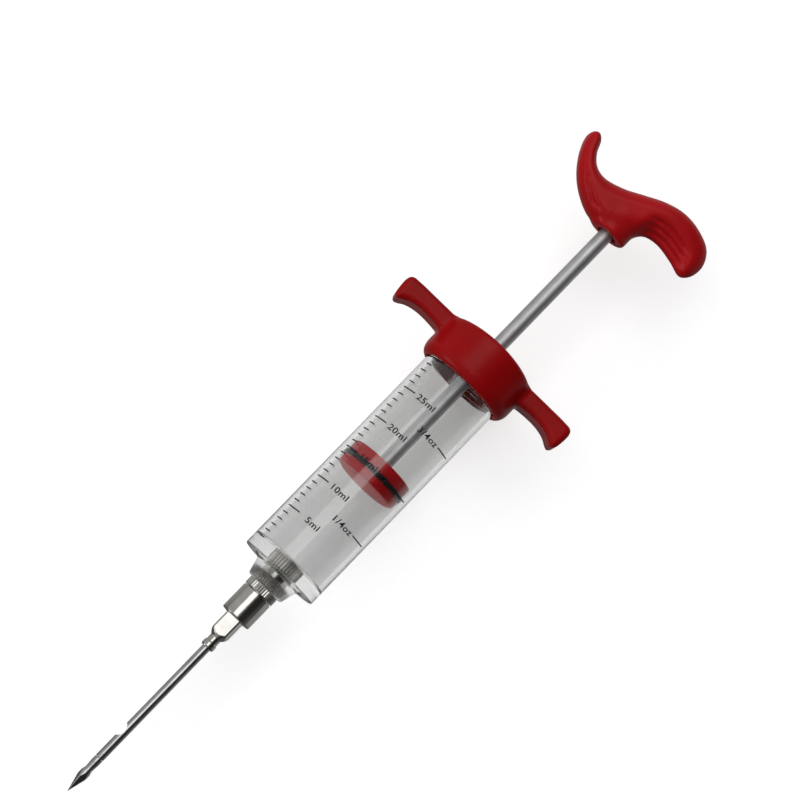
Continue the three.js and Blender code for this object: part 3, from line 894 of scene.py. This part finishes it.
def make_floor():
    """White paper, glowing a little. Reflections and bounced light see the world's lower half instead."""
    mesh = bpy.data.meshes.new("floor")
    size, level = 3.0, -FLOOR_DROP
    corners = [(-size, -size, level), (size, -size, level), (size, size, level), (-size, size, level)]
    mesh.from_pydata(corners, [], [(0, 1, 2, 3)])
    material, nodes, links, shader = new_material("floor_paper")
    fibre = pattern(nodes, links, 300.0, 3.0)
    paper = ramp(nodes, links, fibre, [(0.3, (0.90, 0.90, 0.90)), (0.7, (0.93, 0.93, 0.93))])
    links.new(paper, shader.inputs["Base Color"])
    shader.inputs["Roughness"].default_value = 0.9
    shader.inputs["Specular IOR Level"].default_value = 0.1
    shader.inputs["Emission Color"].default_value = (1.0, 1.0, 1.0, 1.0)
    shader.inputs["Emission Strength"].default_value = 0.55
    mesh.materials.append(material)
    floor = linked("floor", mesh)
    floor.visible_glossy = False
    floor.visible_diffuse = False


def area_light(name, place_at, aim, width, height, watts):
    """A softbox that faces the point aim."""
    light = bpy.data.lights.new(name, "AREA")
    light.shape = "RECTANGLE"
    light.size, light.size_y = width, height
    light.energy = watts
    holder = linked(name, light)
    holder.location = place_at
    holder.rotation_mode = "QUATERNION"
    holder.rotation_quaternion = (Vector(aim) - Vector(place_at)).to_track_quat("-Z", "Y")


def greys(*stops):
    """Stops of a colour ramp from (position, brightness)."""
    return [(position, (level,) * 3) for position, level in stops]


def make_world():
    """Soft studio dome, bright towards +Y and dark towards -Y, over a ground that is dark towards -X."""
    world = bpy.data.worlds.new("studio")
    world.use_nodes = True
    nodes, links = world.node_tree.nodes, world.node_tree.links
    background = nodes["Background"]
    coordinates = nodes.new("ShaderNodeTexCoord")
    split = nodes.new("ShaderNodeSeparateXYZ")
    links.new(coordinates.outputs["Generated"], split.inputs["Vector"])
    side = remap(nodes, links, split.outputs["Y"], -1.0, 1.0)
    stops = greys((0.0, 0.12), (0.1, 0.03), (0.38, 0.03), (0.47, 0.42), (1.0, 0.58))
    dome = ramp(nodes, links, side, stops)
    along = remap(nodes, links, split.outputs["X"], -1.0, 1.0)
    ground = ramp(nodes, links, along, greys((0.0, 0.1), (0.44, 0.17), (0.54, 0.45)))
    below = remap(nodes, links, split.outputs["Z"], 0.03, -0.03)
    blend = nodes.new("ShaderNodeMix")
    blend.data_type = "RGBA"
    links.new(below, blend.inputs["Factor"])
    links.new(dome, blend.inputs["A"])
    links.new(ground, blend.inputs["B"])
    links.new(blend.outputs["Result"], background.inputs["Color"])
    background.inputs["Strength"].default_value = 1.0
    bpy.context.scene.world = world


VIEW_TILT = math.radians(8.9)  # of the line of sight, towards the needle
VIEW_ROLL = math.radians(45.8)  # of the tool's axis in the picture
VIEW_DISTANCE = 0.81
LENS, SENSOR = 123.201, 36.0  # focal length and sensor width, in millimetres
AIM_STATION, AIM_SIDE = 61.8, 9.8  # middle of the picture, on the tool's level


def make_camera():
    """Camera above the tool, which lies across the picture with the needle at the bottom left."""
    data = bpy.data.cameras.new("camera")
    data.sensor_width = SENSOR
    data.lens = LENS
    data.clip_start, data.clip_end = 0.01, 20.0
    camera = linked("camera", data)
    toward = Vector((-math.sin(VIEW_TILT), 0.0, math.cos(VIEW_TILT)))
    along = Vector((math.cos(VIEW_TILT), 0.0, math.sin(VIEW_TILT)))
    aside = Vector((0.0, 1.0, 0.0))
    right = along * math.cos(VIEW_ROLL) - aside * math.sin(VIEW_ROLL)
    up = along * math.sin(VIEW_ROLL) + aside * math.cos(VIEW_ROLL)
    camera.rotation_mode = "QUATERNION"
    camera.rotation_quaternion = Matrix((right, up, toward)).transposed().to_quaternion()
    camera.location = Vector(place([AIM_STATION, AIM_SIDE, 0.0])) + toward * VIEW_DISTANCE
    bpy.context.scene.camera = camera


make_floor()
make_world()
area_light("softbox_top", (0.5, 0.45, 1.5), (0.5, 0.45, 0.0), 1.7, 0.96, 8.4)
area_light("softbox_side", (-1.0, 0.9, 0.25), (0.1, 0.0, 0.0), 0.5, 0.5, 2.6)
make_camera()
bpy.context.scene.view_settings.view_transform = "Standard"
